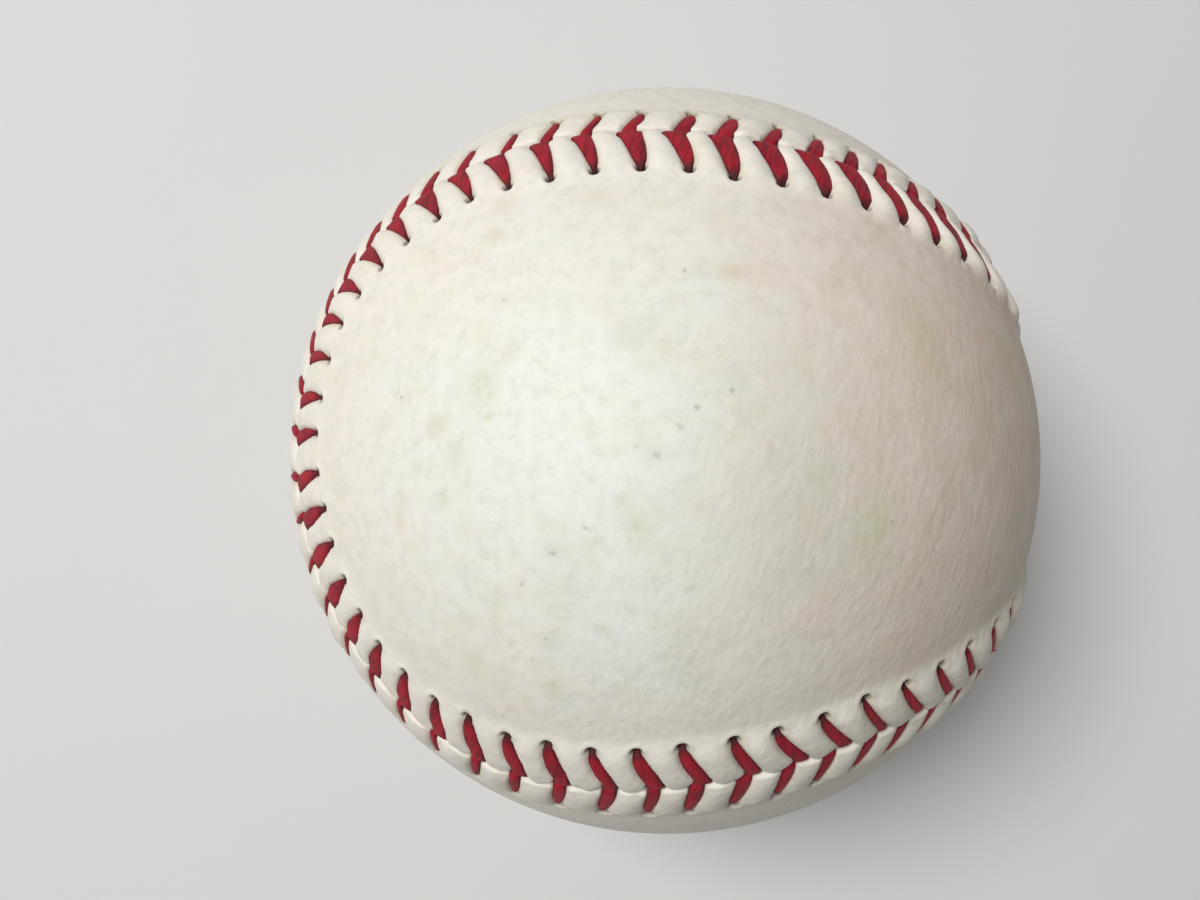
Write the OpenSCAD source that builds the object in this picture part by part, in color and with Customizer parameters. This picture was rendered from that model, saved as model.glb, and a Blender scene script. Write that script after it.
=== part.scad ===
/* [Pill] */
// Diameter of the cork and rubber nucleus
nucleus_d = 20.6; // [16:0.1:25]
// Thickness of the black rubber half shells
inner_shell_t = 3.9; // [2:0.1:6]
// Thickness of the rubber washer between the black half shells
washer_t = 1.2; // [0.6:0.1:3]
// Thickness of the red rubber half shells
outer_shell_t = 2.4; // [1.2:0.1:4]

/* [Windings] */
// Thickness of the four-ply grey wool winding
first_winding_t = 14.5; // [8:0.1:18]
// Thickness of the three-ply white wool winding
second_winding_t = 1.7; // [1:0.05:3]
// Thickness of the three-ply grey wool winding
third_winding_t = 2.2; // [1:0.05:3.5]
// Thickness of the fine finishing winding
finishing_winding_t = 0.5; // [0.3:0.05:1.2]

/* [Cover] */
// Thickness of the leather
leather_t = 1.27; // [1:0.01:1.8]
// Width of the narrowest part of a panel, from seam to seam
neck_w = 30; // [22:0.5:36]
// How far the stitched rims stand proud of the leather
rim_rise = 0.35; // [0.15:0.05:0.6]
// Width of the slope from the raised rim down to the leather
rim_slope_w = 1.7; // [1:0.1:3]
// Leather between the stitch holes and the edge of the raised rim
rim_margin = 0.6; // [0.3:0.1:1.2]

/* [Stitches] */
// Number of double stitches
stitch_count = 108; // [88:4:120]
// Distance from the seam to each row of holes
hole_offset = 4.8; // [3.5:0.1:6]
// Width of the flattened thread on the leather
thread_w = 1.25; // [0.9:0.05:1.6]
// Thickness of the flattened thread
thread_t = 0.5; // [0.3:0.05:0.7]
// Width of the thread where it passes through the leather
thread_neck_w = 0.7; // [0.5:0.05:0.9]
// Clearance round the thread
thread_gap = 0.06; // [0.05:0.01:0.1]

/* [Fits] */
// Clearance between the layers inside the cover
layer_gap = 0.05; // [0.04:0.01:0.1]

/* [Hidden] */
$fn = 96;

// Radii of the layers, from the nucleus outwards
nucleus_r = nucleus_d / 2;
inner_shell_in_r = nucleus_r + layer_gap;
inner_shell_r = inner_shell_in_r + inner_shell_t;
outer_shell_in_r = inner_shell_r + layer_gap;
outer_shell_r = outer_shell_in_r + outer_shell_t;
first_in_r = outer_shell_r + layer_gap;
first_r = first_in_r + first_winding_t;
second_in_r = first_r + layer_gap;
second_r = second_in_r + second_winding_t;
third_in_r = second_r + layer_gap;
third_r = third_in_r + third_winding_t;
finishing_in_r = third_r + layer_gap;
finishing_r = finishing_in_r + finishing_winding_t;
leather_in_r = finishing_r + layer_gap;
ball_r = leather_in_r + leather_t;

// The seam is one closed curve on the ball, p(q) = [-c cos 2q, -(a sin q + b sin 3q), a cos q - b cos 3q].
// It has a + b = 1 and c = 2 sqrt(ab), and a - b is the sine of half the neck's angle.
neck_sine = sin(neck_w / ball_r * 90 / PI);
seam_a = (1 + neck_sine) / 2;
seam_b = (1 - neck_sine) / 2;
seam_c = 2 * sqrt(seam_a * seam_b);
// The square of the curve's speed is speed_sq - 2 a b cos 4q, so this small term spaces the stitches evenly
speed_sq = pow(seam_a, 2) + 9 * pow(seam_b, 2) + 8 * seam_a * seam_b;
even_term = seam_a * seam_b / (4 * speed_sq) * 180 / PI;
seam_length = 2 * PI * ball_r * sqrt(speed_sq);
stitch_pitch = seam_length / stitch_count;

// Where the pattern of stitches starts and how far each V leans, as shares of the stitch pitch
stitch_start_share = 0.32;
lean_share = 0.34;

// Levels of the thread over and under the leather, and what the rims leave free for it
rim_r = ball_r + rim_rise;
over_r = rim_r + thread_gap + thread_t / 2;
under_r = leather_in_r + thread_gap + thread_t / 2;
relief_r = leather_in_r + thread_t + 2 * thread_gap;
seam_gap = thread_t + 2 * thread_gap;
hole_d = sqrt(pow(thread_neck_w, 2) + pow(thread_t, 2)) + 2 * thread_gap;
strand_shift = thread_neck_w / 2 + thread_gap;
rim_w = hole_offset + hole_d / 2 + rim_margin;
relief_w = hole_offset + hole_d / 2 + thread_gap;
cut_overrun = leather_t;

// Seam samples for each stitch, and the reach of the cutters in ball radii
samples_per_stitch = 2;
loop_count = samples_per_stitch * stitch_count;
cutter_reach = 2 * ball_r;

function unit(v) = v / norm(v);
function even_angle(q) = q + even_term * sin(4 * q);
function seam_point(q) = [
    -seam_c * cos(2 * q),
    -(seam_a * sin(q) + seam_b * sin(3 * q)),
    seam_a * cos(q) - seam_b * cos(3 * q)
];
function seam_heading(q) = unit([
    2 * seam_c * sin(2 * q),
    -(seam_a * cos(q) + 3 * seam_b * cos(3 * q)),
    -seam_a * sin(q) + 3 * seam_b * sin(3 * q)
]);
// Direction of the point at stitch place u, at a distance d along the leather towards panel a
function leather_dir(u, d) =
    let (q = even_angle(360 * u / stitch_count), p = seam_point(q), arc = d / ball_r * 180 / PI)
    p * cos(arc) + cross(p, seam_heading(q)) * sin(arc);

// Places round a panel, with the leather on the same hand: side 1 is panel a and side -1 is panel b.
// Place 0 is the tip of the first lobe, and places i and -i face each other across the panel.
function loop_place(side, i) = (side > 0 ? 0 : stitch_count / 4) + side * i * stitch_count / loop_count;
function loop_dirs(side, d) = [
    for (i = [0:loop_count - 1]) leather_dir(loop_place(side, i), side * d)
];
// The panel's centre line, halfway between the two rims
function spine_dirs(side, d) = [
    for (i = [1:loop_count / 2 - 1])
        unit(leather_dir(loop_place(side, i), side * d) + leather_dir(loop_place(side, -i), side * d))
];

// Faces of a closed cap over the loop at point first_loop, with the centre line's points at first_spine
function cap_faces(first_loop, first_spine) =
    let (
        half = loop_count / 2,
        spine = function (i) i == 0 ? first_loop : i == half ? first_loop + half : first_spine + i - 1,
        back = function (i) first_loop + (loop_count - i) % loop_count
    )
    [
        for (i = [0:half - 1]) each [
            if (i > 0) [first_loop + i, spine(i), spine(i + 1)],
            if (i < half - 1) [first_loop + i, spine(i + 1), first_loop + i + 1],
            if (i > 0) [spine(i), back(i), back(i + 1)],
            if (i < half - 1) [spine(i), back(i + 1), spine(i + 1)]
        ]
    ];

// Everything that lies over one panel's leather, at least d from the seam, out to the cutters' reach
module panel_sector(side, d) {
    points = [
        [0, 0, 0],
        each cutter_reach * loop_dirs(side, d),
        each cutter_reach * spine_dirs(side, d)
    ];
    walls = [for (i = [0:loop_count - 1]) [0, 1 + i, 1 + (i + 1) % loop_count]];
    polyhedron(points, concat(walls, cap_faces(1, 1 + loop_count)));
}

// What lies over the slope from the raised rim down to the leather
module over_slope(side) {
    slope = rim_slope_w / rim_rise;
    low_r = ball_r - rim_rise;
    high_r = rim_r + rim_rise;
    points = [
        [0, 0, 0],
        each low_r * loop_dirs(side, rim_w + slope * (rim_r - low_r)),
        each high_r * loop_dirs(side, rim_w + slope * (rim_r - high_r)),
        each cutter_reach * spine_dirs(side, rim_w)
    ];
    walls = [
        for (i = [0:loop_count - 1]) let (j = (i + 1) % loop_count) each [
            [0, 1 + i, 1 + j],
            [1 + i, 1 + loop_count + i, 1 + loop_count + j],
            [1 + i, 1 + loop_count + j, 1 + j]
        ]
    ];
    polyhedron(points, concat(walls, cap_faces(1 + loop_count, 1 + 2 * loop_count)));
}

module shell(out_r, in_r) {
    difference() {
        sphere(r = out_r);
        sphere(r = in_r);
    }
}

// Half of a shell, on the positive side of its joint, turned to its place
module half_shell(out_r, in_r, joint_gap, turn) {
    reach = out_r + cut_overrun;
    rotate(turn)
        intersection() {
            shell(out_r, in_r);
            translate([-reach, -reach, joint_gap / 2])
                cube(2 * reach);
        }
}

module nucleus() {
    color("peru")
        sphere(r = nucleus_r);
}

module inner_shell(turn) {
    color("dimgray")
        half_shell(inner_shell_r, inner_shell_in_r, washer_t + 2 * layer_gap, turn);
}

module shell_washer() {
    color("firebrick")
        intersection() {
            shell(inner_shell_r, inner_shell_in_r);
            cylinder(h = washer_t, r = inner_shell_r + cut_overrun, center = true);
        }
}

module outer_shell(turn) {
    color("indianred")
        half_shell(outer_shell_r, outer_shell_in_r, layer_gap, turn);
}

module winding(out_r, in_r, shade) {
    color(shade)
        shell(out_r, in_r);
}

module stitch_hole(k, side) {
    dir = leather_dir(k + stitch_start_share, side * hole_offset);
    rotate([0, acos(dir.z), atan2(dir.y, dir.x)])
        translate([0, 0, leather_in_r - cut_overrun])
            cylinder(h = leather_t + rim_rise + 2 * cut_overrun, d = hole_d);
}

// A panel's spheres have their poles on the axis that its centre line goes round, which is Y for panel a
// and Z for panel b, so that both panels are trimmed from their spheres in the same way.
module turn_poles(side) {
    rotate([side > 0 ? 90 : 0, 0, 0])
        children();
}

// A panel before it is punched: raised along its rim, and hollow under the rim where the thread crosses
module panel_blank(side) {
    difference() {
        intersection() {
            turn_poles(side)
                shell(rim_r, leather_in_r);
            panel_sector(side, seam_gap / 2);
        }
        difference() {
            over_slope(side);
            turn_poles(side)
                sphere(r = ball_r);
        }
        difference() {
            turn_poles(side)
                shell(relief_r, leather_in_r - cut_overrun);
            panel_sector(side, relief_w);
        }
    }
}

module cover_panel(side) {
    color("ivory")
        difference() {
            panel_blank(side);
            for (k = [0:stitch_count - 1])
                stitch_hole(k, side);
        }
}

// One half of the thread takes every other hole of both rows. A ring of its surface is
// [centre, half width, half thickness], and each bend's ring lies on the mitre.
function ring(centre, across, up, w, t) = [
    for (corner = [[2, 0], [1, 1], [-1, 1], [-2, 0], [-1, -1], [1, -1]])
        centre + corner.x * across * w / 4 + corner.y * up * t / 2
];
function mix(p, q, share) = p * (1 - share) + q * share;
// Width of the hidden legs, as a share of the width on the leather
hidden_width_share = 0.8;
// Places of the widest ring on a leg, and of the middle, first and last rings under the leather
leg_middle_share = 0.45;
hidden_middle_share = 0.5;
thread_start_share = 0.7;
thread_end_share = 0.3;

function hole_dir(k, side) = leather_dir(k + stitch_start_share, side * hole_offset);
// Of the two legs that meet in the seam, the one from panel a's side goes down ahead of the other
function cross_dir(k, side) =
    leather_dir(k + stitch_start_share + lean_share + side * strand_shift / stitch_pitch, 0);
function side_of(k, half) = half * (k % 2 == 0 ? 1 : -1);
function heading(p, q) = unit(q - p * (p * q));

// The rings of one stitch: up through the hole, over the leather, down the seam and under the other panel
function stitch_rings(k, half) =
    let (
        side = side_of(k, half),
        turn = k % 2 == 0 ? 1 : -1,
        hole = hole_dir(k, side),
        seam = cross_dir(k, side),
        next = hole_dir(k + 1, -side),
        came = -heading(hole, cross_dir(k - 1, -side)),
        leaves = heading(hole, seam),
        lands = -heading(seam, hole),
        goes = heading(seam, next),
        crest = unit(mix(hole, seam, leg_middle_share)),
        crest_goes = heading(crest, seam),
        rest_share = k == stitch_count - 1 ? thread_end_share : hidden_middle_share,
        low = unit(mix(seam, next, rest_share)),
        low_goes = heading(low, next)
    )
    [
        ring(hole * under_r, turn * cross(hole, came), turn * (hole - came), thread_neck_w, thread_t),
        ring(hole * over_r, turn * cross(leaves, hole), turn * (leaves - hole), thread_neck_w, thread_t),
        ring(crest * over_r, turn * cross(crest_goes, crest), -turn * crest, thread_w, thread_t),
        ring(seam * over_r, turn * cross(lands, seam), -turn * (seam + lands), thread_neck_w, thread_t),
        ring(seam * under_r, turn * cross(goes, seam), -turn * (seam + goes), thread_neck_w, thread_t),
        ring(low * under_r, turn * cross(low_goes, low), -turn * low, thread_w * hidden_width_share, thread_t)
    ];
// The thread's cut end lies under the leather, just before the first hole
function start_ring(half) =
    let (
        seam = cross_dir(-1, -half),
        hole = hole_dir(0, half),
        start = unit(mix(seam, hole, thread_start_share)),
        goes = heading(start, hole)
    )
    ring(start * under_r, cross(start, goes), start, thread_w * hidden_width_share, thread_t);

module thread_half(half) {
    rings = [start_ring(half), for (k = [0:stitch_count - 1]) each stitch_rings(k, half)];
    sides = len(rings[0]);
    last = len(rings) - 1;
    walls = [
        for (i = [0:last - 1], j = [0:sides - 1])
            let (p = i * sides + j, q = i * sides + (j + 1) % sides) each [
                [p, p + sides, q + sides],
                [p, q + sides, q]
            ]
    ];
    ends = [
        [for (j = [0:sides - 1]) j],
        [for (j = [sides - 1:-1:0]) last * sides + j]
    ];
    color("crimson")
        polyhedron([for (r = rings) each r], concat(walls, ends));
}

nucleus();
inner_shell([0, 0, 0]);  // inner_shell_upper
inner_shell([180, 0, 0]);  // inner_shell_lower
shell_washer();
outer_shell([0, 90, 0]);  // outer_shell_right
outer_shell([0, -90, 0]);  // outer_shell_left
winding(first_r, first_in_r, "lightslategray");  // first_winding
winding(second_r, second_in_r, "whitesmoke");  // second_winding
winding(third_r, third_in_r, "slategray");  // third_winding
winding(finishing_r, finishing_in_r, "white");  // finishing_winding
cover_panel(1);  // cover_panel_a
cover_panel(-1);  // cover_panel_b
thread_half(1);  // thread_first_half
thread_half(-1);  // thread_second_half
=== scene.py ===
import math

import bpy
import numpy as np
from mathutils import Matrix, Vector


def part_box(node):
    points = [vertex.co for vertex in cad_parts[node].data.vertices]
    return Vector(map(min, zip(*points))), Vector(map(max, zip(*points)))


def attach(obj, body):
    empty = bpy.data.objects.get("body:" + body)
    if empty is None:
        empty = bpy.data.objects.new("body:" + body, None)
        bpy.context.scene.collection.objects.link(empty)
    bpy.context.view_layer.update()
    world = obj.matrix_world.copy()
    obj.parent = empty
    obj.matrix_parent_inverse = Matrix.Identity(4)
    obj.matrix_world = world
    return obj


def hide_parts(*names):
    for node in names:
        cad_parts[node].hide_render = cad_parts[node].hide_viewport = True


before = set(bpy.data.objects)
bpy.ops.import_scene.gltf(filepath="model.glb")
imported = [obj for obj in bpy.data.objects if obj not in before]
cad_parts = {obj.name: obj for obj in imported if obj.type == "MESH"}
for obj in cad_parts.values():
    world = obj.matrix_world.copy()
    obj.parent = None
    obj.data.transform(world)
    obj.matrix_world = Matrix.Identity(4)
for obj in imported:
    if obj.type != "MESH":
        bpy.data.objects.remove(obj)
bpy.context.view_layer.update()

# View of the ball
# The ball lies on a flat surface and is seen from almost straight above, from about its own width away.
# The lens gives a 36 mm wide sensor the picture's focal length.
mm = 0.001
picture_w = 1200
picture_h = 900
focal_px = 1037
sensor_w = 36
camera_at = Vector((-9.93, -1.06, 109.28)) * mm
looks_at = Vector((-6.21, 1.11, 0)) * mm
camera_roll = math.radians(1.2)

camera_forward = (looks_at - camera_at).normalized()
camera_right = camera_forward.cross(Vector((math.sin(camera_roll), math.cos(camera_roll), 0))).normalized()
camera_up = camera_right.cross(camera_forward)
camera_data = bpy.data.cameras.new("camera")
camera_data.sensor_width = sensor_w
camera_data.lens = sensor_w * focal_px / picture_w
camera_data.clip_start = 1 * mm
camera = bpy.data.objects.new("camera", camera_data)
camera.matrix_world = Matrix.Translation(camera_at) @ Matrix(
    (camera_right, camera_up, -camera_forward)
).transposed().to_4x4()
bpy.context.scene.collection.objects.link(camera)
bpy.context.scene.camera = camera


# Nucleus
# A small ball of ground cork bound with a little rubber, moulded under pressure.
# It is loose in its black rubber shell, and its surface shows the cut cork grains in the darker binder.
class Shade:
    """A socket in a material's nodes. Sums and products of it add the Math nodes that work them out."""

    def __init__(self, tree, socket=None):
        self.tree = tree
        self.socket = socket

    def feed(self, made, sockets):
        """Links or sets sockets of a node, each by its name or number."""
        for name, value in sockets.items():
            if isinstance(value, Shade):
                self.tree.links.new(value.socket, made.inputs[name])
            else:
                made.inputs[name].default_value = value

    def node(self, kind, settings, sockets, output=0):
        """Adds a node, sets it up before its sockets, and gives the output that is asked for."""
        made = self.tree.nodes.new("ShaderNode" + kind)
        for name, value in settings.items():
            setattr(made, name, value)
        self.feed(made, sockets)
        return Shade(self.tree, made.outputs[output])

    def maths(self, operation, first, second=0.0):
        return self.node("Math", {"operation": operation}, {0: first, 1: second})

    def __add__(self, other):
        return self.maths("ADD", self, other)

    __radd__ = __add__

    def __sub__(self, other):
        return self.maths("SUBTRACT", self, other)

    def __rsub__(self, other):
        return self.maths("SUBTRACT", other, self)

    def __mul__(self, other):
        return self.maths("MULTIPLY", self, other)

    __rmul__ = __mul__

    def __pow__(self, other):
        return self.maths("POWER", self, other)

    def rise(self, low, high):
        """A smooth step from 0 where this is low to 1 where it is high. Low may be the larger number."""
        step = {"interpolation_type": "SMOOTHSTEP"}
        return self.node("MapRange", step, {"Value": self, "From Min": low, "From Max": high})

    def paint(self, start, end):
        """A colour that goes from start to end as this goes from 0 to 1."""
        return self.node("Mix", {"data_type": "RGBA"}, {0: self, 6: start, 7: end}, 2)

    def along(self, axis):
        """How far a place lies along an axis."""
        return self.node("VectorMath", {"operation": "DOT_PRODUCT"}, {0: self, 1: axis}, "Value")

    def scaled(self, sizes):
        """A place with its three coordinates multiplied."""
        return self.node("VectorMath", {"operation": "MULTIPLY"}, {0: self, 1: sizes})

    def from_place(self, other):
        """Distance between two places."""
        return self.node("VectorMath", {"operation": "DISTANCE"}, {0: self, 1: other}, "Value")

    def cloud(self, grain, detail=2.0, roughness=0.5):
        """Noise whose patches are about one grain wide."""
        sockets = {"Vector": self, "Scale": 1 / grain, "Detail": detail, "Roughness": roughness}
        return self.node("TexNoise", {}, sockets)

    def cells(self, grain, output, feature="F1"):
        """Cells that are about one grain wide."""
        return self.node("TexVoronoi", {"feature": feature}, {"Vector": self, "Scale": 1 / grain}, output)


def rgb(red, green, blue):
    """A colour written as a screen shows it, from 0 to 255, in the linear form that sockets take."""
    shares = [part / 255 for part in (red, green, blue)]
    return [s / 12.92 if s <= 0.04045 else ((s + 0.055) / 1.055) ** 2.4 for s in shares] + [1]


def new_finish(name):
    """A material, and the places on its surface in the ball's own coordinates."""
    material = bpy.data.materials.new(name)
    material.use_nodes = True
    return material, Shade(material.node_tree).node("TexCoord", {}, {}, "Object")


def finish_skin(material, place, colour, roughness, height, depth, **fixed):
    """Joins colour, roughness and a relief of that depth in metres to the material's surface."""
    bump = place.node("Bump", {}, {"Strength": 1.0, "Distance": depth, "Height": height}, "Normal")
    skin = material.node_tree.nodes["Principled BSDF"]
    place.feed(skin, {"Base Color": colour, "Roughness": roughness, "Normal": bump})
    place.feed(skin, {name.replace("_", " "): value for name, value in fixed.items()})


def dress(node_name, material):
    """Gives a carried-over piece its finish."""
    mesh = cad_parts[node_name].data
    mesh.materials.clear()
    mesh.materials.append(material)


cork_grain = 1.3 * mm
cork_pore = 0.25 * mm
cork_relief = 0.12 * mm
cork_light = rgb(196, 154, 102)
cork_dark = rgb(146, 102, 62)
cork_binder = rgb(74, 48, 32)

cork, place = new_finish("cork")
# Each grain has a tone of its own, from the three parts of its cell's chance colour
grain_tone = place.cells(cork_grain, "Color").along((0.6, 0.3, 0.1))
binder = place.cells(cork_grain, "Distance", "DISTANCE_TO_EDGE").rise(0.08, 0.02)
pores = place.cloud(cork_pore, 3).rise(0.35, 0.6)
cork_colour = binder.paint(grain_tone.paint(cork_dark, cork_light), cork_binder)
finish_skin(cork, place, cork_colour, 0.75 + 0.15 * pores, pores - 0.8 * binder, cork_relief)
dress("nucleus", cork)

# Rubber shells of the pill
# Two black half shells are moulded round the nucleus, with a red rubber washer between their rims.
# Two red half shells, their joint turned by a quarter, close over them.
bloom_patch = 6 * mm
rubber_grain = 0.4 * mm
rubber_relief = 0.05 * mm
black_rubber_colour = rgb(34, 33, 34)
black_rubber_dust = rgb(74, 72, 70)
red_rubber_colour = rgb(142, 44, 34)
red_rubber_dust = rgb(176, 92, 78)


def rubber(name, clean, dusty, pits_apart):
    """Moulded rubber with a dusty bloom and a fine pitted skin."""
    material, place = new_finish(name)
    bloom = place.cloud(bloom_patch, 4, 0.6).rise(0.4, 0.75)
    pits = place.cells(pits_apart, "Distance").rise(0.3, 0.1)
    colour = (bloom * 0.6 + pits * 0.2).paint(clean, dusty)
    height = place.cloud(rubber_grain, 3) - pits
    finish_skin(material, place, colour, 0.55 + 0.25 * bloom, height, rubber_relief)
    return material


black_rubber = rubber("black_rubber", black_rubber_colour, black_rubber_dust, 0.7 * mm)
red_rubber = rubber("red_rubber", red_rubber_colour, red_rubber_dust, 0.9 * mm)
for shell in ("inner_shell_lower", "inner_shell_upper"):
    dress(shell, black_rubber)
for shell in ("shell_washer", "outer_shell_left", "outer_shell_right"):
    dress(shell, red_rubber)

# Windings
# Three layers of wool yarn, four-ply grey, three-ply white and three-ply grey, and a fine cotton one.
# Each is wound under tension in great circles while the ball turns, and rubber cement holds the last.
bands = 9
band_half_w = 7 * mm
band_spread = 12 * mm
yarn_wander = 3 * mm
fuzz_grain = 0.15 * mm
winding_relief = 0.3 * mm


def wound(name, yarn_w, light, dark, seed):
    """Yarn that goes round the ball in bands, each band crossing over the ones laid before it."""
    material, place = new_finish(name)
    dice = np.random.default_rng(seed)
    loose = place.cloud(yarn_wander, 1) * yarn_w
    height = place.cloud(yarn_w, 1)
    for _ in range(bands):
        axis = dice.normal(size=3)
        axis /= np.linalg.norm(axis)
        offset = dice.uniform(-0.5, 0.5) * band_spread
        across = place.along(tuple(axis)) + loose + offset
        strand = across.maths("ABSOLUTE", across.maths("SINE", across * (math.pi / yarn_w)))
        band = across.maths("ABSOLUTE", across).rise(band_half_w + yarn_w / 2, band_half_w - yarn_w / 2)
        height = band * (0.3 + 0.7 * strand) + (1 - band) * height * 0.8
    fuzz = place.cloud(fuzz_grain, 3, 0.7)
    # Painted shade: the yarn is darker where its relief is low, between strands and under the later bands
    tone = height.rise(0.1, 0.9) * 0.75 + fuzz * 0.25
    colour = tone.paint(dark, light)
    finish_skin(material, place, colour, 0.85 + 0.1 * fuzz, height + 0.2 * fuzz, winding_relief)
    return material


dress("first_winding", wound("grey_wool", 1.6 * mm, rgb(150, 148, 146), rgb(66, 66, 70), 1))
dress("second_winding", wound("white_wool", 1.3 * mm, rgb(232, 226, 212), rgb(150, 142, 126), 2))
dress("third_winding", wound("fine_grey_wool", 1.3 * mm, rgb(158, 156, 152), rgb(72, 72, 74), 3))
dress("finishing_winding", wound("finishing_yarn", 0.6 * mm, rgb(240, 236, 224), rgb(158, 150, 132), 4))

# Cover
# Two figure-eight panels of white cowhide, cut and punched alike, are laid on damp with their edges meeting.
# The stitching pulls the leather up into a low welt along the seam, with a pillow between each pair of legs
# and a groove under each leg, and the needle's holes stay open as deep pits, painted near black as shadow.
ball_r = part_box("cover_panel_a")[1].z
leather_t = 1.27 * mm
neck_w = 30 * mm
stitch_count = 108
stitch_start = 0.32
hole_offset = 4.8 * mm
# A leg goes into the seam this share of a stitch ahead of its hole, on panel a's side and on panel b's
lean_share = {1: 0.45, -1: 0.24}
lean_bend = 1.4

# The seam's curve that gives the panels' necks that width, and its evenly spaced stitches
neck_sine = math.sin(neck_w / ball_r / 2)
seam_a = (1 + neck_sine) / 2
seam_b = (1 - neck_sine) / 2
seam_c = 2 * math.sqrt(seam_a * seam_b)
speed_sq = seam_a**2 + 9 * seam_b**2 + 8 * seam_a * seam_b
even_term = seam_a * seam_b / (4 * speed_sq)
pitch = 2 * math.pi * ball_r * math.sqrt(speed_sq) / stitch_count


def unit(v):
    """Directions of the vectors, each one long."""
    return v / np.linalg.norm(v, axis=-1, keepdims=True)


def seam_frame(u):
    """Direction of the seam at stitch place u, its heading there, and the way towards panel a."""
    q = 2 * np.pi * u / stitch_count
    q = q + even_term * np.sin(4 * q)
    x = -seam_c * np.cos(2 * q)
    y = -(seam_a * np.sin(q) + seam_b * np.sin(3 * q))
    z = seam_a * np.cos(q) - seam_b * np.cos(3 * q)
    dx = 2 * seam_c * np.sin(2 * q)
    dy = -(seam_a * np.cos(q) + 3 * seam_b * np.cos(3 * q))
    dz = -seam_a * np.sin(q) + 3 * seam_b * np.sin(3 * q)
    place = np.stack([x, y, z], axis=-1)
    heading = unit(np.stack([dx, dy, dz], axis=-1))
    return place, heading, np.cross(place, heading)


def swerve(u, bends):
    """Sum of smooth bends along the seam, each given as its stitch place, reach in stitches and size."""
    total = np.zeros(np.shape(u))
    for at, reach, size in bends:
        away = (u - at + stitch_count / 2) % stitch_count - stitch_count / 2
        total = total + size * np.exp(-((away / reach) ** 2))
    return total


# Where the sewn seam runs ahead of an even one, in stitches, and where it strays towards panel a, in mm
ahead_bends = ((88, 2.5, 0.3), (105, 3.4, -0.38), (3.8, 2.8, 0.3), (20, 3, -0.22))
aside_bends = (
    (93, 2.6, 0.5),
    (96, 4, 0.35),
    (100, 2.6, -0.95),
    (103.3, 2, -0.6),
    (1.5, 3.4, 2.1),
    (8.5, 2.5, -1.4),
    (12, 3, -0.4),
    (15, 3.6, 0.7),
    (17.5, 3, 0.4),
)


def leather_dir(u, d):
    """Direction of the place at a distance d along the leather from stitch place u, towards panel a."""
    place, _, sideways = seam_frame(u + swerve(u, ahead_bends))
    arc = (d / ball_r + swerve(u, aside_bends) * mm / ball_r)[..., None]
    return place * np.cos(arc) + sideways * np.sin(arc)


def smooth(x):
    """A smooth step from 0 to 1 as x goes from 0 to 1."""
    x = np.clip(x, 0, 1)
    return x * x * (3 - 2 * x)


# No two stitches are pulled quite alike. What differs from leg to leg is kept for both sides of the seam,
# 1 for the side of panel a and -1 for that of panel b.
stitch_dice = np.random.default_rng(108)
stitches = np.arange(stitch_count)
same_for_all = {side: np.zeros(stitch_count) for side in (1, -1)}


def by_chance(low, high):
    """A chance value for each leg of both sides."""
    return {side: stitch_dice.uniform(low, high, stitch_count) for side in (1, -1)}


def with_bends(values, near, far=()):
    """The legs' values with bends along the seam: near ones on panel a's side, far ones on panel b's."""
    return {1: values[1] + swerve(stitches, near), -1: values[-1] + swerve(stitches, far)}


# Where the holes are: along the seam in stitches, and out from it
hole_along = by_chance(-0.05, 0.05)
hole_stray = with_bends(
    by_chance(-0.25, 0.25),
    near=((96, 6, 0.25), (107.5, 3, 0.45), (8.5, 2.2, 0.65)),
    far=((96, 8, -1.3), (89, 3, -0.8), (13.5, 3, 0.6)),
)
hole_out = {side: hole_offset + hole_stray[side] * mm for side in (1, -1)}
# How far ahead of its hole a leg goes into the seam, in stitches
landing_stray = with_bends(
    by_chance(-0.06, 0.06),
    near=((96, 4, -0.12), (3.5, 4.5, -0.45), (10.5, 3, -0.1), (19, 3, 0.22)),
    far=((3.5, 4.5, -0.4),),
)
landing = {side: lean_share[side] + landing_stray[side] for side in (1, -1)}
# How wide a leg is, how much less at the seam and at its hole, and which legs turn straight into the seam
leg_size = with_bends(
    by_chance(0.86, 1.1),
    near=((86.5, 5, 1.05), (106, 3, -0.3), (110, 5, 0.27), (7, 6, 0.15), (17, 5, -0.35)),
    far=((97.5, 2, -0.3), (103, 3, 0.5), (109, 3.5, -0.3), (5, 5, -0.45)),
)
leg_spread = with_bends(same_for_all, near=((87, 5, -0.42), (6, 9, -0.42)))
leg_point = with_bends(same_for_all, near=((102, 5, -0.6), (4, 4, -0.4)))
leg_turn = swerve(stitches, ((87, 4, 1), (10, 7, 1)))
# How high a pillow is, how much its tip bulges, and over what length the tip falls away
pillow_size = with_bends(
    by_chance(0.8, 1.15),
    near=((85, 6, -0.2), (107, 8, -0.4), (17, 6, 0.4)),
    far=((104, 7, -0.35),),
)
pillow_bump = with_bends(same_for_all, near=((86, 7, 0.6),))
pillow_tip = {side: (2.6 - 1.8 * pillow_bump[side]) * mm for side in (1, -1)}
folds_per_stitch = 5
edge_folds = {side: stitch_dice.normal(size=stitch_count * folds_per_stitch) for side in (1, -1)}
# Width of a leg in mm at these shares of its way from the hole to the seam
width_shares = [0, 0.12, 0.3, 0.5, 0.75, 1]
widths_there = {1: [0.5, 0.8, 1.22, 1.45, 1.65, 1.95], -1: [0.4, 0.6, 1.0, 1.25, 1.35, 1.25]}
# A leg that is narrower at the seam gets so from this share of its way on, over the next share. One that is
# narrower at its hole has its full width from the last share on.
narrows_from = 0.5
narrows_over = 0.4
full_from = 0.8


def leg_share(side, d):
    """How far each leg of a side has come from its hole, as a share, at a distance d from the seam."""
    return np.clip(1 - d / hole_out[side], 0, 1)


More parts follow.
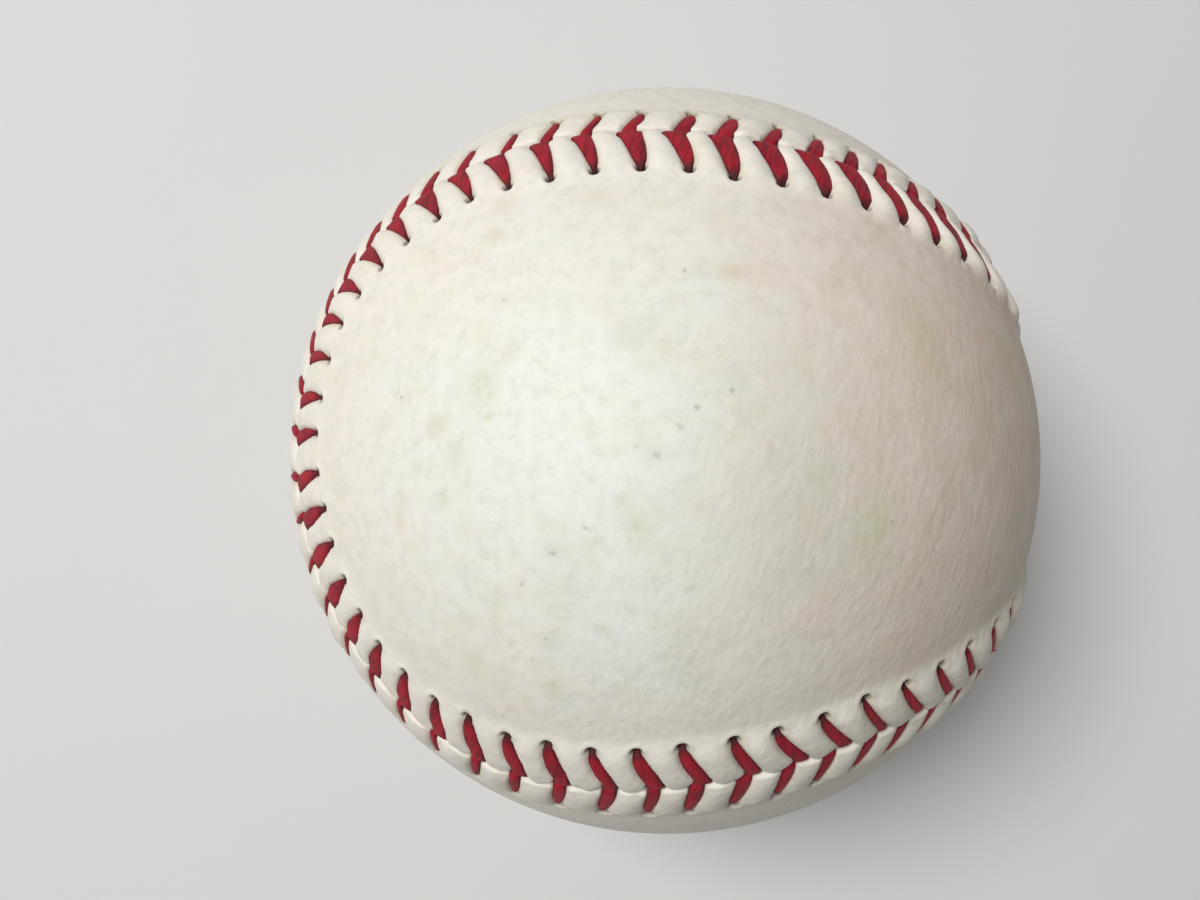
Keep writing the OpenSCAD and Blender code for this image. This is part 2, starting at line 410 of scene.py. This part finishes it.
def leg_lean(k, share):
    """How much of its lean leg k has taken at a share of its way. Some legs turn straight into the seam."""
    turned = np.clip(leg_turn[k], 0, 1)
    return share**lean_bend * (1 - turned) + smooth(share) * turned


def leg_line(side, share):
    """Stitch places of a side's legs when they have come a share of their way to the seam."""
    return stitches + stitch_start + hole_along[side] + landing[side] * leg_lean(stitches, share)


def leg_width(side, k, share):
    """Width of leg k's flattened thread, along the seam, on its way from the hole to the seam."""
    width = np.interp(share, width_shares, widths_there[side]) * mm
    spread = 1 + leg_spread[side][k] * smooth((share - narrows_from) / narrows_over)
    point = 1 + leg_point[side][k] * smooth(1 - share / full_from)
    return width * leg_size[side][k] * spread * point


welt_rise = 0.3 * mm
welt_flat = 0.8 * mm
welt_end = 7.2 * mm
pillow_rise = 0.53 * mm
pillow_beyond_hole = 1.4 * mm
pillow_fullness = 0.75
bump_from = 2.2 * mm
bump_reach = 2 * mm
# A pillow has this share of its height at these distances from the edge, in mm
swell_places = [0, 0.4, 1.2, 2.2]
swells_there = [0.4, 0.6, 0.85, 1]
# A pillow rises beside the leg, this share of the leg's width from its middle, and further off at the hole
bank_share = 0.42
dimple_w = 0.25 * mm
dimple_from = 3 * mm
dimple_reach = 2 * mm
# A groove reaches this share of the leg's width from the leg's middle, and a little past the hole
groove_depth = 0.33 * mm
groove_share = 0.62
groove_side = 0.3
groove_beyond_hole = 0.3 * mm
groove_fade = 0.6 * mm
fold_rise = 0.05 * mm
fold_reach = 1 * mm
pit_depth = 1.1 * mm
pit_r = 0.36 * mm
pit_beyond = 0.03 * mm
collar_rise = 0.15 * mm
collar_r = 1.9 * pit_r
collar_w = 0.75 * pit_r


def welt(d):
    """Height of the seam's low welt at a distance from the seam."""
    return welt_rise * smooth((welt_end - d) / (welt_end - welt_flat))


def edge_fold(side, u):
    """Small uneven folds that the thread's pull leaves along a panel's edge."""
    places = np.arange(len(edge_folds[side])) / folds_per_stitch
    return np.interp(u, places, edge_folds[side], period=stitch_count)


def closed_up(values, step=stitch_count):
    """A ring of stitch values with the last one repeated before it and the first one after it."""
    return np.concatenate([values[-1:] - step, values, values[:1] + step])


def relief(side, u, d, row):
    """Height of the leather over the ball, and the distances to the nearest leg and hole, along one row."""
    share = leg_share(side, row)
    legs = closed_up(leg_line(side, share))
    before = np.clip(np.searchsorted(legs, u, side="right") - 1, 0, stitch_count)
    apart = legs[before + 1] - legs[before]
    between = (u - legs[before]) / apart
    nearest = (before + np.round(between).astype(int) - 1) % stitch_count
    off_leg = np.minimum(between, 1 - between) * apart * pitch
    hole_u = stitches + stitch_start + hole_along[side]
    along = (u - hole_u[nearest] + stitch_count / 2) % stitch_count - stitch_count / 2
    out = d - hole_out[side][nearest] - pit_beyond
    off_hole = np.hypot(along * pitch, out)
    # A pillow is round across, fades out beyond the holes and gets lower towards the seam
    width = leg_width(side, nearest, share[nearest])
    bank = bank_share * width + dimple_w * smooth((row - dimple_from) / dimple_reach)
    flank = np.clip((off_leg - bank) / (apart * pitch / 2 - bank), 0, 1)
    ends = closed_up(hole_out[side], 0)
    end_here = ends[before] * (1 - between) + ends[before + 1] * between + pillow_beyond_hole
    own = (before - 1) % stitch_count
    pillow = (1 - (1 - flank) ** 2) ** pillow_fullness * smooth((end_here - row) / pillow_tip[side][own])
    bump = 1 + pillow_bump[side][own] * smooth((row - bump_from) / bump_reach)
    pillow = pillow * pillow_size[side][own] * bump
    swell = np.interp(row / mm, swell_places, swells_there)
    under_leg = smooth((groove_share * width - off_leg) / (groove_side * width))
    under_leg = under_leg * smooth((hole_out[side][nearest] + groove_beyond_hole - row) / groove_fade)
    height = welt(row) + pillow_rise * swell * pillow - groove_depth * under_leg
    height = height + fold_rise * edge_fold(side, u) * np.exp(-((row / fold_reach) ** 2)) * (1 - under_leg)
    # The needle's hole is a deep pit, with a collar of pushed-up leather on the side away from the seam
    pit = np.exp(-((off_hole / pit_r) ** 3))
    collar = np.exp(-(((off_hole - collar_r) / collar_w) ** 2)) * smooth(out / (2 * pit_r) + 0.5)
    height = height + collar_rise * collar - pit_depth * pit
    return height, off_leg, off_hole


def seam_places(side):
    """Stitch places where a side's legs go down the seam."""
    return stitches + stitch_start + hole_along[side] + landing[side]


def off_nearest(places, u):
    """How far stitch place u is past the nearest of the stitches' places, and which stitch that is."""
    places = closed_up(places)
    after = np.searchsorted(places, u)
    found = np.where(u - places[after - 1] < places[after] - u, after - 1, after)
    return u - places[found], (found - 1) % stitch_count


# The panels' edges part where a pair of legs goes in, at these stitch places from the pair's middle, by
# these half gaps in mm. Between the pairs they close and stray towards panel b.
parting_places = [-0.42, -0.3, -0.1, 0.15, 0.3, 0.48]
half_gaps = [0.03, 0.2, 0.32, 0.32, 0.2, 0.03]
closed_stray = 0.18 * mm
closed_from = 0.3
pressed_beside_leg = 0.25 * mm
pressed_fade = 0.5 * mm


def seam_opening(side, u):
    """Half the gap between the edges, how far the seam strays to panel a, and where a side's legs press."""
    away, _ = off_nearest((seam_places(1) + seam_places(-1)) / 2, u)
    gap = np.interp(away, parting_places, half_gaps) * mm
    stray = -closed_stray * (1 - np.exp(-((np.abs(away) / closed_from) ** 3)))
    off_landing, landed = off_nearest(seam_places(side), u)
    half_w = leg_width(side, landed, 1) / 2
    pressed = smooth((half_w + pressed_beside_leg - np.abs(off_landing) * pitch) / pressed_fade)
    return gap, stray, pressed


# A panel's fine rows of points run along the seam and end this far from it, in mm. At these distances the
# rows are these steps apart. Inside them the grid is coarser.
rows_end = 8.5
step_places = [0, 1, 3.8, 4.3, 5.5, 6.3, 8]
steps_there = [0.05, 0.2, 0.25, 0.17, 0.17, 0.4, 0.6]
columns_per_stitch = 20
columns = columns_per_stitch * stitch_count
coarse_step = 5
coarse_from = 9.2 * mm
rungs_across = 24


def row_distances():
    """Distances of a panel's rows of points from its edge: close together at the edge and at the holes."""
    at = [0]
    while at[-1] < rows_end:
        at.append(at[-1] + np.interp(at[-1], step_places, steps_there))
    return np.array(at) * mm


def grid_faces(rows, count):
    """Four-sided faces between closed rows of points, each row numbered from its first point."""
    faces = []
    for lower, upper in zip(rows, rows[1:]):
        i = np.arange(count)
        j = (i + 1) % count
        faces.append(np.stack([lower + i, lower + j, upper + j, upper + i], axis=1))
    return np.concatenate(faces).tolist()


def fan_faces(fine, fine_count, coarse, coarse_count):
    """Three-sided faces that join a closed row to one with fewer points inside it."""
    step = fine_count // coarse_count
    faces = []
    for c in range(coarse_count):
        here = coarse + c
        there = coarse + (c + 1) % coarse_count
        middle = c * step + step // 2
        for i in range(c * step, (c + 1) * step):
            faces.append((fine + i, fine + (i + 1) % fine_count, here if i < middle else there))
        faces.append((fine + middle, there, here))
    return faces


def ladder(ring, first, across, radius):
    """Points and faces inside a closed ring of directions, in arcs from its point i to its point -i.

    The ring's points are numbered from first, and the new ones follow them.
    """
    count = len(ring)
    half = count // 2
    points = []
    numbers = []
    for c in range(half + 1):
        start = ring[c]
        end = ring[-c % count]
        if c in (0, half):
            numbers.append([first + c] * (across + 1))
            continue
        angle = np.arccos(np.clip(np.dot(start, end), -1, 1))
        shares = np.arange(1, across)[:, None] / across
        arc = (np.sin((1 - shares) * angle) * start + np.sin(shares * angle) * end) / np.sin(angle)
        new = first + count + len(points)
        points.extend(unit(arc) * radius)
        numbers.append([first + c, *range(new, new + across - 1), first + count - c])
    faces = []
    for here, there in zip(numbers, numbers[1:]):
        for k in range(across):
            face = [here[k], there[k], there[k + 1], here[k + 1]]
            faces.append([n for i, n in enumerate(face) if n not in face[:i]])
    return points, faces


def new_piece(name, points, faces, values):
    """A piece made of points and faces, with values at its points that its finish reads."""
    mesh = bpy.data.meshes.new(name)
    mesh.from_pydata(points.tolist(), [], faces)
    mesh.shade_smooth()
    for attribute, numbers in values.items():
        kept = mesh.attributes.new(attribute, "FLOAT", "POINT")
        kept.data.foreach_set("value", numbers.astype(np.float32))
    piece = bpy.data.objects.new(name, mesh)
    bpy.context.scene.collection.objects.link(piece)
    return piece


# The edge is rounded down over this width and by this drop, and more where a leg presses on it
lip_w = 0.3 * mm
lip_drop = 0.22 * mm
pressed_lip_w = 1.0 * mm
pressed_lip_drop = 0.55 * mm
cut_depth = 0.75 * leather_t
gap_fade = 1.8 * mm
under_from = 0.3 * mm
far_off = 20 * mm


def cover_panel(name, side):
    """One panel: a finely gridded band along the seam, a coarser middle, a cut edge and the flesh side."""
    start = 0 if side > 0 else stitch_count / 4
    turn = np.arange(columns) / columns_per_stitch
    u = (start + side * turn) % stitch_count
    gap, stray, pressed = seam_opening(side, u)
    points = []
    off_leg = []
    off_hole = []
    off_seam = []
    edge_w = lip_w + pressed_lip_w * pressed
    edge_drop = lip_drop + pressed_lip_drop * pressed
    for row in row_distances():
        d = row + (gap + side * stray) * (1 - smooth(row / gap_fade))
        height, leg, hole = relief(side, u, d, row)
        lip = np.clip(1 - row / edge_w, 0, 1) ** 2
        height = height - edge_drop * lip
        points.append(leather_dir(u, side * d) * (ball_r + height)[:, None])
        off_leg.append(leg)
        off_hole.append(hole)
        off_seam.append(np.full(columns, row))
    # The cut edge goes down from the lip to the flesh side
    d = gap + side * stray
    points.insert(0, leather_dir(u, side * d) * (ball_r - cut_depth))
    off_leg.insert(0, off_leg[0])
    off_hole.insert(0, off_hole[0])
    off_seam.insert(0, off_seam[0])
    firsts = [columns * i for i in range(len(points))]
    faces = grid_faces(firsts, columns)
    top_count = columns * len(points)
    coarse_count = columns // coarse_step
    coarse_u = (start + side * np.arange(coarse_count) * coarse_step / columns_per_stitch) % stitch_count
    inner_ring = leather_dir(coarse_u, side * np.full(coarse_count, coarse_from))
    middle, middle_faces = ladder(inner_ring, top_count, rungs_across, ball_r)
    faces += fan_faces(firsts[-1], columns, top_count, coarse_count)
    faces += middle_faces
    every = [*points, inner_ring * ball_r, np.array(middle)]
    # The flesh side, next to the windings
    under_first = sum(len(p) for p in every)
    under_r = ball_r - leather_t
    under_ring = leather_dir(coarse_u, side * np.full(coarse_count, under_from))
    under, under_faces = ladder(under_ring, under_first, rungs_across // 2, under_r)
    faces += [face[::-1] for face in fan_faces(firsts[0], columns, under_first, coarse_count)]
    faces += [face[::-1] for face in under_faces]
    every += [under_ring * under_r, np.array(under)]
    every = np.concatenate(every)
    far = [np.full(len(every) - top_count, far_off)]
    values = {"off_leg": off_leg + far, "off_hole": off_hole + far, "off_seam": off_seam + far}
    return new_piece(name, every, faces, {known: np.concatenate(parts) for known, parts in values.items()})


leather_white = rgb(236, 229, 218)
leather_cool = rgb(232, 233, 224)
leather_warm = rgb(230, 216, 198)
leather_sallow = rgb(222, 219, 184)
leather_tan = rgb(216, 194, 172)
leather_dark_tan = rgb(186, 154, 136)
leather_grey = rgb(202, 202, 188)
grass_colour = rgb(190, 193, 136)
earth_colour = rgb(198, 172, 120)
speck_colour = rgb(104, 98, 82)
hole_shadow_colour = rgb(46, 34, 30)


def on_ball(x, y):
    """The place on the ball that shows at a pixel of the picture."""
    ray = camera_right * (x - picture_w / 2) - camera_up * (y - picture_h / 2) + camera_forward * focal_px
    ray.normalize()
    along = camera_at.dot(ray)
    return camera_at + ray * (-along - math.sqrt(along**2 - camera_at.length_squared + ball_r**2))


# Marks of play, each at its pixel: x, y, radius in mm, how much taller than wide, strength
grass_marks = (
    (655, 340, 2.2, 1.2, 0.3),
    (667, 350, 0.9, 0.7, 0.4),
    (480, 388, 1.5, 1.2, 0.45),
    (489, 416, 0.6, 1.0, 0.4),
    (638, 524, 1.4, 1.7, 0.45),
    (622, 502, 0.7, 1.2, 0.35),
    (876, 530, 2.2, 2.2, 0.36),
    (822, 482, 1.4, 2.2, 0.18),
    (690, 656, 1.8, 2.6, 0.35),
    (475, 666, 1.9, 1.2, 0.4),
    (552, 687, 1.2, 1.2, 0.35),
    (443, 498, 0.8, 1.2, 0.4),
    (458, 455, 1.5, 1.0, 0.35),
    (1012, 360, 2.2, 3.0, 0.4),
    (1018, 525, 1.6, 3.0, 0.4),
)
earth_marks = (
    (735, 271, 2.0, 0.5, 0.5),
    (496, 236, 1.2, 0.7, 0.55),
    (596, 198, 2.2, 0.6, 0.3),
    (505, 206, 1.5, 1.0, 0.3),
    (436, 428, 1.1, 0.9, 0.4),
    (400, 522, 0.9, 1.3, 0.4),
    (925, 345, 3.2, 1.6, 0.35),
    (716, 215, 1.4, 1.2, 0.25),
)
smudges = (
    (800, 505, 8.5, 1.3, 0.42),
    (655, 452, 1.4, 1.0, 0.45),
    (626, 330, 1.6, 1.2, 0.3),
    (565, 590, 2.4, 0.8, 0.3),
    (554, 550, 1.3, 1.2, 0.4),
    (740, 378, 1.2, 1.4, 0.35),
    (552, 640, 1.4, 1.0, 0.3),
    (498, 300, 1.2, 0.8, 0.25),
    (455, 448, 0.8, 1.4, 0.3),
)
specks = (
    (697, 408, 0.28),
    (679, 427, 0.32),
    (658, 456, 0.34),
    (637, 447, 0.26),
    (684, 270, 0.28),
    (552, 553, 0.3),
    (522, 585, 0.26),
    (547, 638, 0.24),
    (935, 550, 0.26),
    (892, 522, 0.2),
    (503, 300, 0.24),
    (402, 397, 0.22),
    (733, 390, 0.24),
    (584, 528, 0.24),
    (461, 438, 0.24),
)


def marks(place, rough, chosen):
    """Where marks with blurred and broken edges lie, each as strong as it says."""
    total = 0
    for x, y, size, tall, strength in chosen:
        squeeze = (1, 1 / tall, 1)
        centre = on_ball(x, y)
        centre = tuple(c * s for c, s in zip(centre, squeeze))
        away = place.scaled(squeeze).from_place(centre) * (1 / (size * mm)) + rough
        total = away.rise(1.6, 0) ** 2 * strength + total
    return total


def value_at(place, name):
    """The value that a piece's mesh keeps under that name."""
    return place.node("Attribute", {"attribute_name": name}, {}, "Fac")


# Sides: tan from handling and a painted reflection of red light, a darker tan edge from wear and painted
# shade, a side painted grey as shade, and a wrinkled side
handling_and_reflection_side = (0.8, -0.1, 0.6)
dark_tan_side = (1, -0.1, 0)
painted_shade_side = (0.6, -0.75, 0)
wrinkled_side = (0.55, -0.6, 0.1)
wrinkle_across = (0.95, -0.3, 0)
wrinkle_down = (0.3, 0.95, 0)
wrinkle_w = 0.6 * mm
wrinkle_long = 1.3 * mm
leather_relief = 0.05 * mm

cowhide, place = new_finish("cowhide")
off_hole = value_at(place, "off_hole")
off_leg = value_at(place, "off_leg")
off_seam = value_at(place, "off_seam")
# The plain leather: cooler and paler in the worn middle of the lobe, warmer, sallow and grey in patches
mottle = place.cloud(9 * mm, 4, 0.55)
blotch = place.cloud(3 * mm, 4, 0.6)
fleck = place.cloud(1.3 * mm, 5, 0.65)
worn_middle = place.from_place(tuple(on_ball(600, 480))) * (1 / mm) + (mottle - 0.5) * 30
worn_middle = worn_middle.rise(26, 8)
colour = worn_middle.paint(leather_white, leather_cool)
colour = (blotch.rise(0.48, 0.75) * (0.5 - 0.3 * worn_middle)).paint(colour, leather_warm)
sallow = place.scaled((-1, 1, -1)).cloud(3.5 * mm, 4, 0.6)
colour = (sallow.rise(0.5, 0.75) * 0.4).paint(colour, leather_sallow)
right = place.along(handling_and_reflection_side).rise(17 * mm, 37 * mm)
colour = (fleck.rise(0.38, 0.8) * (0.42 + 0.35 * right)).paint(colour, leather_grey)
creases = place.cloud(5 * mm, 4, 0.6) - 0.5
creases = creases.maths("ABSOLUTE", creases).rise(0.014, 0.002) * fleck.rise(0.4, 0.6)
colour = (creases * 0.25).paint(colour, leather_grey)
# Hands have tanned one side, with a painted reflection of red light over it, but not the pillows by its seam
off_pillows = off_seam.rise(4.4 * mm, 6.4 * mm)
handling_and_painted_reflection = right * (0.2 + 0.8 * off_pillows)
uneven = 0.35 + mottle * 0.3 + sallow.rise(0.35, 0.65) * 0.2 + blotch.rise(0.35, 0.65) * 0.1
colour = (handling_and_painted_reflection * uneven).paint(colour, leather_tan)
# A darker tan towards that side's edge: partly wear, partly painted shade and painted red reflection
dark_edge_wear_and_shade = place.along(dark_tan_side).rise(15 * mm, 29 * mm) * off_pillows
colour = (dark_edge_wear_and_shade * 0.5 * uneven).paint(colour, leather_dark_tan)
# Painted shade: the leather goes greyer towards the lower right side, where less light falls
painted_shade = place.along(painted_shade_side).rise(2 * mm, 34 * mm)
colour = (painted_shade * 0.42).paint(colour, leather_grey)
# Marks of play
broken = (fleck - 0.5) * 2 + (blotch - 0.5) * 2
colour = (marks(place, broken, smudges) * 0.8).paint(colour, leather_grey)
granular = 0.45 + 0.5 * fleck.rise(0.4, 0.6)
colour = (marks(place, broken, grass_marks) * granular).paint(colour, grass_colour)
colour = (marks(place, broken, earth_marks) * 0.6).paint(colour, earth_colour)
dots = place.cells(1.1 * mm, "Distance").rise(0.14, 0.04) * blotch.rise(0.45, 0.65) * 0.6
ragged = (place.cloud(0.5 * mm, 3) - 0.5) * (1.0 * mm)
for x, y, size in specks:
    dots = (place.from_place(tuple(on_ball(x, y))) + ragged).rise(1.1 * size * mm, 0) + dots
colour = (dots * 0.3).paint(colour, speck_colour)
# Dirt in the grooves, and painted shadow in the needle's holes
soiled = off_leg.rise(1.1 * mm, 0.4 * mm) * off_seam.rise(6 * mm, 4 * mm) * 0.25
colour = soiled.paint(colour, earth_colour)
colour = (off_hole.rise(0.66 * mm, 0.3 * mm) * 0.85).paint(colour, hole_shadow_colour)
# The grain's relief: short wrinkles side by side, pores, a fine grain and the lumps of the yarn below
stretched = {
    0: place.along(wrinkle_across) * (1 / wrinkle_w),
    1: place.along(wrinkle_down) * (1 / wrinkle_long),
    2: place.along((0, 0, 1)) * (1 / wrinkle_w),
}
stretched = place.node("CombineXYZ", {}, stretched)
wrinkles = place.node("TexNoise", {}, {"Vector": stretched, "Scale": 1.0, "Detail": 0.5, "Distortion": 0.3})
wrinkled = place.along(wrinkled_side).rise(-8 * mm, 12 * mm)
pores = place.cells(0.28 * mm, "Distance").rise(0.15, 0.5)
fine = place.cloud(0.35 * mm, 3, 0.55)
lumps = place.cloud(4.5 * mm, 2)
height = wrinkles * wrinkled * 1.15 + fine * 0.35 + pores * 0.12 + lumps * 3.0
finish_skin(cowhide, place, colour, 0.5 + 0.12 * mottle, height, leather_relief, Specular_IOR_Level=0.35)

for panel_name, side in (("cowhide_panel_a", 1), ("cowhide_panel_b", -1)):
    panel = cover_panel(panel_name, side)
    panel.data.materials.append(cowhide)
    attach(panel, "root")
    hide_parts(panel_name.replace("cowhide", "cover"))

# Thread
# Waxed red cotton, sewn by hand with two needles, so each half of it takes every other hole of both rows.
# A leg comes up through its hole, lies flat in its groove, goes down the seam and on under the other panel.
thread_sides = 14
leg_rings = 15
leg_shares = np.linspace(0.02, 0.97, leg_rings)
thread_lay = 0.04 * mm
# Thickness of a leg in mm at these shares of its way from the hole to the seam
thick_shares = [0, 0.15, 0.8, 1]
thicks_there = [0.4, 0.5, 0.5, 0.42]
# A leg dips into its hole up to this share of its way, and towards the seam from a later share on
hole_dip = 0.75 * mm
hole_dip_to = 0.2
seam_dip = 0.2 * mm
seam_dip_from = 0.9
seam_dip_over = 0.1
# Two steps of its way down the seam: how far towards the other panel, how deep, and its share of the width
seam_steps = ((0.1 * mm, 0.3 * mm, 1), (0.2 * mm, 0.6 * mm, 0.8))
turn_depth = 0.9 * mm
in_hole_depth = 0.8 * mm
in_hole_w = 0.6 * mm
hidden_depth = 1.05 * mm
hidden_w = 1.0 * mm
hidden_thick = 0.4 * mm
pressed_thick = 0.35 * mm


def thread_side(k, half):
    """The side of the seam whose hole a half of the thread takes at stitch k."""
    return half if k % 2 == 0 else -half


def stitch_rings(k, half):
    """Rings of one stitch: stitch place, way from the seam, height, width, thickness, share of the leg."""
    side = thread_side(k, half)
    hole_u = k + stitch_start + hole_along[side][k]
    out = hole_out[side][k]
    land = landing[side][k]
    u = hole_u + land * leg_lean(k, leg_shares)
    d = out * (1 - leg_shares)
    down_hole = hole_dip * np.clip(1 - leg_shares / hole_dip_to, 0, 1) ** 2
    down_seam = seam_dip * np.clip((leg_shares - seam_dip_from) / seam_dip_over, 0, 1) ** 2
    lay = welt(d) - thread_lay - down_hole - down_seam
    width = leg_width(side, k, leg_shares)
    thick = np.interp(leg_shares, thick_shares, thicks_there) * mm
    landed_u = hole_u + land
    middle_u = (landed_u + k + 1 + stitch_start) / 2
    next_out = hole_out[thread_side(k + 1, half)][(k + 1) % stitch_count]
    last_w = width[-1]
    return [
        # Up through the hole
        (hole_u, side * out, -hidden_depth, in_hole_w, hidden_thick, 0),
        (hole_u, side * out, -in_hole_depth, in_hole_w, hidden_thick, 0),
        # Along the groove
        *zip(u, side * d, lay, width, thick, leg_shares),
        # Down the seam and on under the other panel
        *((landed_u, -side * way, -low, part * last_w, hidden_thick, 1) for way, low, part in seam_steps),
        (landed_u, 0, -turn_depth, hidden_w, hidden_thick, 1),
        (middle_u, -side * next_out / 2, -hidden_depth, hidden_w, pressed_thick, 1),
    ]


def thread_half(name, half):
    """One needle's whole length of thread, as a tube of flattened rings."""
    stations = [ring for k in range(stitch_count) for ring in stitch_rings(k, half)]
    u, d, height, width, thick, come = np.array(stations).T
    centres = leather_dir(u, d) * (ball_r + height)[:, None]
    _, heading, _ = seam_frame(u + swerve(u, ahead_bends))
    way = unit(np.gradient(centres, axis=0))
    across = unit(heading - way * np.sum(heading * way, axis=1, keepdims=True))
    up = np.cross(across, way)
    around = 2 * np.pi * np.arange(thread_sides) / thread_sides
    wide = np.cos(around)[None, :, None] * across[:, None, :] * width[:, None, None] / 2
    high = np.sin(around)[None, :, None] * up[:, None, :] * thick[:, None, None] / 2
    rings = centres[:, None, :] + wide + high
    count = len(rings)
    faces = grid_faces([n * thread_sides for n in range(count)], thread_sides)
    faces.append(list(range(thread_sides))[::-1])
    faces.append([(count - 1) * thread_sides + n for n in range(thread_sides)])
    length = np.concatenate([[0], np.cumsum(np.linalg.norm(np.diff(centres, axis=0), axis=1))])
    values = {
        "length": np.repeat(length, thread_sides),
        "around": np.tile(around, count),
        "come": np.repeat(come, thread_sides),
    }
    return new_piece(name, rings.reshape(-1, 3), faces, values)


thread_red = rgb(172, 26, 44)
thread_dark = rgb(96, 18, 30)
thread_hole_shade = rgb(40, 20, 20)
plies_per_ring = 3
ply_turn = 4 * mm
fibre_turn = 9 * mm
fibre_w = 0.12 * mm
thread_relief = 0.07 * mm

waxed_thread, place = new_finish("waxed_thread")
length = value_at(place, "length")
around = value_at(place, "around")
come = value_at(place, "come")
plies = around.maths("SINE", around * plies_per_ring + length * (2 * math.pi / ply_turn))
fibres = place.cloud(fibre_w, 3, 0.6)
# Streaks follow the fibres round the thread: a cloud over a tube that is turned along its length
twist = around + length * (2 * math.pi / fibre_turn)
turned = {0: twist.maths("COSINE", twist) * 2.5, 1: twist.maths("SINE", twist) * 2.5, 2: length * (0.5 / mm)}
streaks = place.node("CombineXYZ", {}, turned).cloud(1, 3)
worn = place.cloud(2.5 * mm, 3).rise(0.4, 0.7)
# Painted shade: the thread is darker towards its two flat edges
painted_edge_shade = around.maths("ABSOLUTE", around.maths("COSINE", around)).rise(0.45, 1)
streaked = streaks.rise(0.4, 0.62)
colour = (fibres * 0.3 + streaked * 0.45 + worn * 0.25 + painted_edge_shade * 0.35).paint(thread_red, thread_dark)
# Painted shade: each leg goes near black where it goes down into its hole
colour = (come.rise(0.24, 0.06) * 0.9).paint(colour, thread_hole_shade)
twill = plies * 0.4 + fibres * 0.4 + streaks * 1.2
finish_skin(waxed_thread, place, colour, 0.55 + 0.2 * fibres, twill, thread_relief, Specular_IOR_Level=0.25)

for thread_name, half in (("waxed_thread_first_half", 1), ("waxed_thread_second_half", -1)):
    thread = thread_half(thread_name, half)
    thread.data.materials.append(waxed_thread)
    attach(thread, "root")
    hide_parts(thread_name.replace("waxed_thread", "thread"))

# Floor and light
# A plain pale floor under the ball, which stays pale into the distance and meets a pale background.
# The soft light comes from large round lamps: the main one high at the upper left, and a weak one opposite.
floor_reach = 3.0
floor_level = -ball_r
fade_from = 0.1
fade_to = 0.4
floor_mesh = bpy.data.meshes.new("floor")
corners = [(x * floor_reach, y * floor_reach, floor_level) for x, y in ((-1, -1), (1, -1), (1, 1), (-1, 1))]
floor_mesh.from_pydata(corners, [], [(0, 1, 2, 3)])
floor = bpy.data.objects.new("floor", floor_mesh)
bpy.context.scene.collection.objects.link(floor)
floor_finish, place = new_finish("floor")
floor_light = rgb(226, 225, 223)
floor_shade = rgb(222, 221, 219)
background_colour = rgb(224, 225, 227)
black = rgb(0, 0, 0)
floor_tone = place.cloud(40 * mm, 3)


def seen(shade):
    """1 for the rays that show a thing to the camera, straight or by gloss or glass, and 0 for its light."""
    straight, gloss, glass = (
        shade.node("LightPath", {}, {}, f"Is {kind} Ray") for kind in ("Camera", "Glossy", "Transmission")
    )
    return shade.maths("MAXIMUM", shade.maths("MAXIMUM", straight, gloss), glass)


# Far from the ball the floor goes over into the background's own colour, which no lamp changes
distance = place.from_place((0, 0, floor_level)).rise(fade_from, fade_to) * seen(place)
floor_colour = distance.paint(floor_tone.paint(floor_light, floor_shade), black)
far_light = distance.paint(black, background_colour)
fixed = {"Emission_Color": far_light, "Emission_Strength": 1, "Specular_IOR_Level": 0.1}
finish_skin(floor_finish, place, floor_colour, 0.9, floor_tone, 0.01 * mm, **fixed)
floor_mesh.materials.append(floor_finish)


def lamp(name, at, size, power):
    """A round lamp that faces the ball, with its size in metres and its power in watts."""
    data = bpy.data.lights.new(name, "AREA")
    data.shape = "DISK"
    data.size = size
    data.energy = power
    piece = bpy.data.objects.new(name, data)
    piece.matrix_world = Matrix.Translation(at) @ (-at).to_track_quat("-Z", "Y").to_matrix().to_4x4()
    bpy.context.scene.collection.objects.link(piece)


lamp("main_lamp", Vector((-0.35, 0.21, 0.76)), 0.4, 7.0)
lamp("weak_lamp", Vector((0.6, -0.5, 0.5)), 0.6, 0.25)
world = bpy.data.worlds.new("world")
world.use_nodes = True
sky = Shade(world.node_tree)
sky_light = 0.12
sky.feed(
    world.node_tree.nodes["Background"],
    {"Color": background_colour, "Strength": sky_light + (1 - sky_light) * seen(sky)},
)
bpy.context.scene.world = world
bpy.context.scene.view_settings.view_transform = "Standard"
